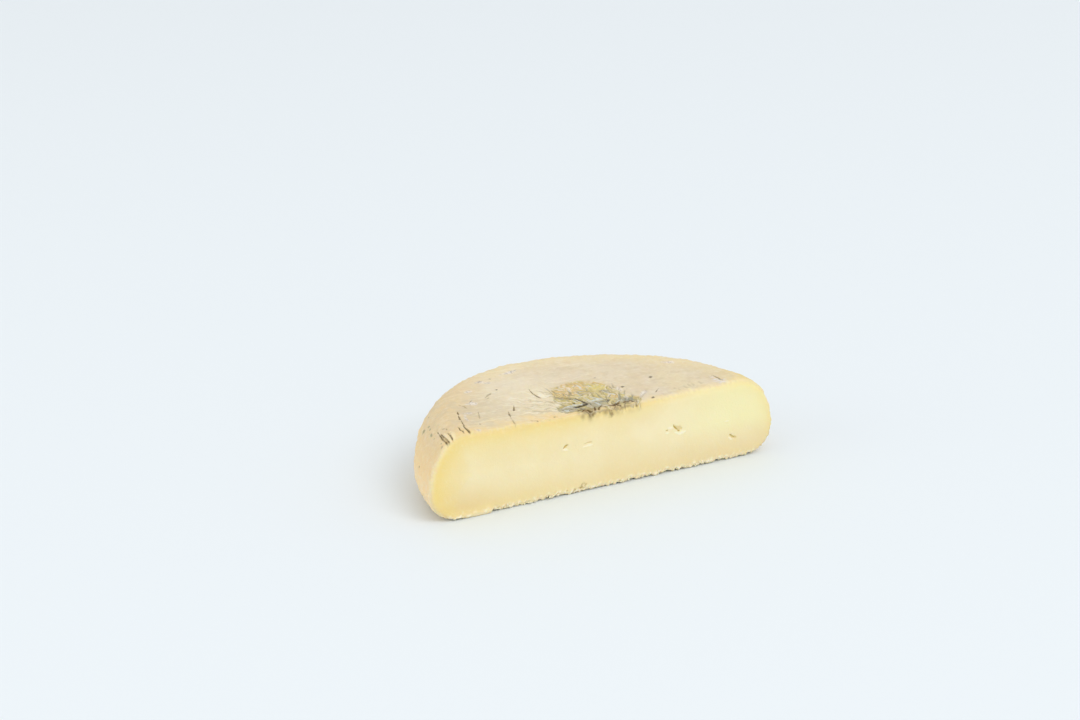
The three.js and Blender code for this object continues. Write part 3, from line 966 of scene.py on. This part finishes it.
def coats(ground, *rows):
    """Lays coats over a ground, each by its shares, multiplied. A word names a painted layer."""
    surface = colour(ground)
    for over, *shares in rows:
        parts = [painted(share) if isinstance(share, str) else share for share in shares]
        sockets = {0: reduce(times, parts), 6: surface, 7: colour(over)}
        surface = add("Mix", sockets, data_type="RGBA").outputs[2]
    return surface


in_space = add("TexCoord", {}).outputs["Object"]
in_fan = add("Attribute", {}, attribute_name="fan").outputs["Vector"]


def mottle(size, low, high, where=in_space, detail=3.0, stretch=(1, 1, 1), roll=0.0, warp=0.0):
    """Noise with lumps of a size in mm, eased to run from 0 at low to 1 at high."""
    # A Mapping node stretches first and turns after, so a roll keeps the streaks and only moves the noise
    rolled = add("Mapping", {"Vector": where, "Rotation": (0, 0, roll), "Scale": stretch}).outputs[0]
    lumpy = {"Vector": rolled, "Scale": 1 / (size * MM), "Detail": detail, "Distortion": warp}
    cloud = add("TexNoise", lumpy).outputs["Fac"]
    eased = {"Value": cloud, "From Min": low, "From Max": high}
    return add("MapRange", eased, interpolation_type="SMOOTHSTEP").outputs[0]


print("material started:", material.name)

# %% Paste
paste = coats(
    (242, 229, 188),
    ((239, 224, 179), mottle(18, 0.35, 0.65)),
    ((241, 234, 181), "lemon_paste", 0.8),
    # Painted shade and a warm painted reflection, low on the paste
    ((227, 203, 150), "painted_shade", 0.9),
    ((238, 212, 126), "butter"),
    # Own deeper yellow and painted shade along the edge of the cut
    ((230, 207, 142), "edge_tint_and_shade", 0.8),
    ((248, 238, 206), mottle(1.6, 0.5, 0.75), 0.12),
    # Paler paste, with a painted highlight on the lips of the eyes
    ((250, 243, 216), "pale_and_highlight"),
    ((206, 174, 76), "eye"),
    ((176, 150, 96), "brown_stain", mottle(1.0, 0.3, 0.7)),
)
print("paste: ivory, shade, butter, pale and eye")

# %% Rind
STREAK_ROLL = -math.atan2(CREASE_RUN[1], CREASE_RUN[0])
OTHER_ROLL = STREAK_ROLL + 0.25
LONG = (0.09, 1, 1)
THREAD = (1, 0.1, 1)
pale_streak = mottle(1.5, 0.5, 0.66, stretch=LONG, roll=STREAK_ROLL, warp=1.2)
dark_streak = mottle(0.8, 0.56, 0.7, stretch=LONG, roll=OTHER_ROLL, warp=1.2)
# Pale and dark lines along the fan stand in for the light on the ridges and the shade in the creases: painted
# highlight and painted shade
crease_highlight = mottle(0.9, 0.5, 0.62, where=in_fan, stretch=THREAD, warp=0.4)
crease_shade = mottle(0.7, 0.54, 0.66, where=in_fan, stretch=THREAD, warp=0.4)
rind = coats(
    (221, 206, 178),
    ((217, 200, 168), mottle(12, 0.35, 0.65)),
    ((228, 213, 170), mottle(26, 0.42, 0.62), 0.4),
    ((206, 188, 154), mottle(4.0, 0.5, 0.66), 0.45),
    ((231, 212, 166), "back_rim", 0.85),
    # Peach tone of the heel, lifted by painted light and a warm painted reflection
    ((247, 217, 167), "heel"),
    # Painted shade on the left of the top
    ((213, 197, 162), "facet_shade", 0.75),
    ((234, 210, 158), "warm", 0.9),
    ((242, 234, 208), pale_streak, "streaky", 0.3),
    ((190, 172, 138), dark_streak, "streaky", 0.2),
    ((232, 220, 184), "creased", 0.4),
    # Painted highlight and painted shade of the creases
    ((243, 235, 212), crease_highlight, "creased", 0.7),
    ((176, 160, 126), crease_shade, "creased", 0.6),
    ((231, 219, 194), "pale_back", 0.5),
    ((228, 196, 138), "left_warm", 0.45),
    ((235, 205, 146), "warm", "creased", 0.8),
    ((228, 206, 140), "bare", 0.85),
    ((238, 228, 206), mottle(2.6, 0.5, 0.75), 0.3),
    ((204, 186, 150), mottle(0.9, 0.55, 0.8), 0.25),
)
print("rind: waxy ground, streaks and creases")

# %% Marks on the rind
grey_blotch = mottle(3.4, 0.46, 0.6, stretch=(0.6, 0.8, 1))
fleck = mottle(1.1, 0.44, 0.56, stretch=(1, 0.5, 1), warp=1.0)
flecked = coats((235, 226, 216), ((195, 184, 174), fleck))
lilac_streak = mottle(1.0, 0.42, 0.6, stretch=LONG, roll=STREAK_ROLL)
fibres = mottle(0.5, 0.15, 0.5, stretch=(1, 0.12, 1), roll=0.15)
marked_rind = coats(
    rind,
    ((240, 224, 180), "cream"),
    # Grey blotches of the rind's own tone, kept to the patch of painted shade
    ((202, 187, 160), grey_blotch, "facet_shade", 0.5),
    (flecked, "lilac", 0.8),
    ((222, 215, 210), "bloom", lilac_streak),
    ((160, 142, 104), "faint_mould", 0.32),
    ((128, 136, 108), "green_speck", 0.62),
    ((138, 130, 108), "grey_mould", 0.6),
    ((112, 94, 58), "straw", fibres),
)
print("rind marks: cream, bloom, specks and straw")

# %% Mould
dark_hair = mottle(0.7, 0.52, 0.64, where=in_fan, stretch=THREAD, warp=0.5)
pale_hair = mottle(0.9, 0.54, 0.66, where=in_fan, stretch=THREAD, warp=0.5)
patch = coats(
    (209, 193, 136),
    ((198, 180, 116), mottle(3.0, 0.4, 0.6, warp=1.0)),
    ((216, 186, 128), "ochre", mottle(2.4, 0.25, 0.6)),
    ((220, 201, 126), "lemon", 0.75),
    ((160, 157, 141), "slate", 0.75),
    ((230, 218, 202), mottle(1.9, 0.52, 0.66, warp=1.0), 0.5),
    ((164, 166, 146), mottle(1.5, 0.54, 0.68, warp=1.0), 0.5),
    ((146, 128, 88), dark_hair, 0.6),
    ((236, 227, 212), pale_hair, 0.65),
    ((204, 160, 102), "rust", 0.7),
    ((152, 130, 84), "brown_mould", 0.5),
    ((142, 142, 126), "grey_mould", 0.75),
    # Painted glints and milky threads of the mould
    ((214, 220, 216), "pale_mould_and_glint", 0.8),
)
surface = coats(
    marked_rind,
    (paste, "paste"),
    (patch, "mould"),
    ((106, 82, 44), "smear"),
    ((58, 46, 36), "dark"),
)
tree.links.new(surface, shader.inputs["Base Color"])
print("mould: fields, hairs and threads")

# %% Gloss, bump and depth
RIND_ROUGHNESS = 0.78
PASTE_ROUGHNESS = 0.5
BUMP = {"Strength": 0.5, "Distance": 0.12 * MM}
WAX = {
    "Subsurface Weight": 0.3, "Subsurface Radius": (1.0, 0.7, 0.35), "Subsurface Scale": 1.0 * MM,
    "Specular IOR Level": 0.3,
}
finish = {"Value": painted("paste"), "To Min": RIND_ROUGHNESS, "To Max": PASTE_ROUGHNESS}
tree.links.new(add("MapRange", finish).outputs[0], shader.inputs["Roughness"])
fine_grain = mottle(0.7, 0.2, 0.8, detail=4.0)
tree.links.new(add("Bump", {**BUMP, "Height": fine_grain}).outputs[0], shader.inputs["Normal"])
for socket, value in WAX.items():
    shader.inputs[socket].default_value = value
skin.materials.clear()
skin.materials.append(material)
print("material finished:", len(tree.nodes), "nodes")

# %% [markdown]
# ## Crumbs
# A knife leaves crumbs along the torn foot of the cut. Each is a small ball with its vertices pushed about by
# noise, half sunk in the paste. Left alone, noise_vector gives other lumps on each run, so seed_set comes
# first. The crumbs are one mesh, in the same material, with the paste painted all over.

# %% Scatter the crumbs
CRUMB_COUNT = 60
CRUMB_SIZES = (0.2, 0.5)
TORN_FOOT = (-64, 80)
CRUMBLIEST = (-62, -36)
HEIGHT_RATE = 1.6
SUNK = (-0.2, 0.4)
LUMPY = 0.6
PALENESS = 0.4
noise.seed_set(SEED)
crumbs_net = bmesh.new()
for count in range(CRUMB_COUNT):
    size = draw.uniform(*CRUMB_SIZES)
    # Every third crumb lies where the foot crumbled most
    crumb_x = draw.uniform(*TORN_FOOT) if count % 3 else draw.uniform(*CRUMBLIEST)
    tooth = float(np.interp(crumb_x, *np.array(TEAR).T))
    crumb_z = tooth + size + draw.expovariate(HEIGHT_RATE)
    at = Vector((crumb_x, CUT + draw.uniform(*SUNK) * size, crumb_z)) + AXIS
    ball = bmesh.ops.create_icosphere(crumbs_net, subdivisions=2, radius=size, matrix=Matrix.Translation(at))
    for vert in ball["verts"]:
        vert.co += noise.noise_vector(vert.co / size) * LUMPY * size
bmesh.ops.scale(crumbs_net, vec=(MM, MM, MM), verts=crumbs_net.verts)
crumbs = as_object(crumbs_net, "crumbs")
crumbs.data.shade_smooth()
everywhere = np.ones(len(crumbs.data.vertices))
paint(crumbs.data, "paste", everywhere)
paint(crumbs.data, "pale_and_highlight", PALENESS * everywhere)
crumbs.data.materials.append(material)
print("crumbs:", len(crumbs.data.polygons), "faces")

# %% [markdown]
# ## Hand the pieces over
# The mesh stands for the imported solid, which stays for collision and weight. The crumbs go along with it.

# %% Ride and replace
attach(cheese, "root")
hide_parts("half_wheel")
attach(crumbs, "root")
print("cheese replaces half_wheel")

# %% [markdown]
# ## Floor, light and view
# The picture is high key: a plain pale floor, light from all round, one large soft lamp at the right front
# that shapes the shoulder, and a weak one that fills the left. The camera is a long lens that looks down by
# 20 degrees, turned 29 degrees to the left of the cut.

# %% Floor and room
FLOOR_SIZE = 8.0
FLOOR_COLOUR = (0.79, 0.84, 0.87, 1)
FLOOR_ROUGHNESS = 0.7
ROOM_COLOUR = (0.98, 0.99, 1.0, 1)
ROOM_STRENGTH = 0.86
floor_net = bmesh.new()
bmesh.ops.create_grid(floor_net, x_segments=1, y_segments=1, size=FLOOR_SIZE / 2)
floor = as_object(floor_net, "floor")
floor_paint = bpy.data.materials.new("floor")
floor_paint.use_nodes = True
floor_shader = floor_paint.node_tree.nodes["Principled BSDF"]
floor_shader.inputs["Base Color"].default_value = FLOOR_COLOUR
floor_shader.inputs["Roughness"].default_value = FLOOR_ROUGHNESS
floor.data.materials.append(floor_paint)

world = bpy.data.worlds.new("soft_room")
world.use_nodes = True
glow = world.node_tree.nodes["Background"]
glow.inputs["Color"].default_value = ROOM_COLOUR
glow.inputs["Strength"].default_value = ROOM_STRENGTH
scene = bpy.context.scene
scene.world = world
scene.view_settings.view_transform = "Standard"
print("floor and room light set")

# %% Lamps and camera
LENS = 80
SENSOR_WIDTH = 36
CAMERA_PLACE = Vector((-520.9, -864.4, 429.3))
LOOK_DOWN = math.radians(19.965)
LOOK_TURN = math.radians(29.26)


def aim_lamp(name, spot, size, energy):
    """Hangs a soft square lamp that looks at the cheese."""
    data = bpy.data.lights.new(name, "AREA")
    data.size = size
    data.energy = energy
    lamp = bpy.data.objects.new(name, data)
    scene.collection.objects.link(lamp)
    lamp.location = spot
    lamp.rotation_euler = (-Vector(spot)).to_track_quat("-Z", "Y").to_euler()


aim_lamp("key", (1.0, -4.0, 4.4), size=3.2, energy=108)
aim_lamp("fill", (-2.0, 0.3, 0.7), size=1.2, energy=4.5)
camera_data = bpy.data.cameras.new("view")
camera_data.lens = LENS
camera_data.sensor_width = SENSOR_WIDTH
camera = bpy.data.objects.new("view", camera_data)
scene.collection.objects.link(camera)
camera.location = (CAMERA_PLACE + AXIS) * MM
camera.rotation_euler = (math.pi / 2 - LOOK_DOWN, 0, -LOOK_TURN)
scene.camera = camera
print("stage set, camera at", [round(part, 3) for part in camera.location])
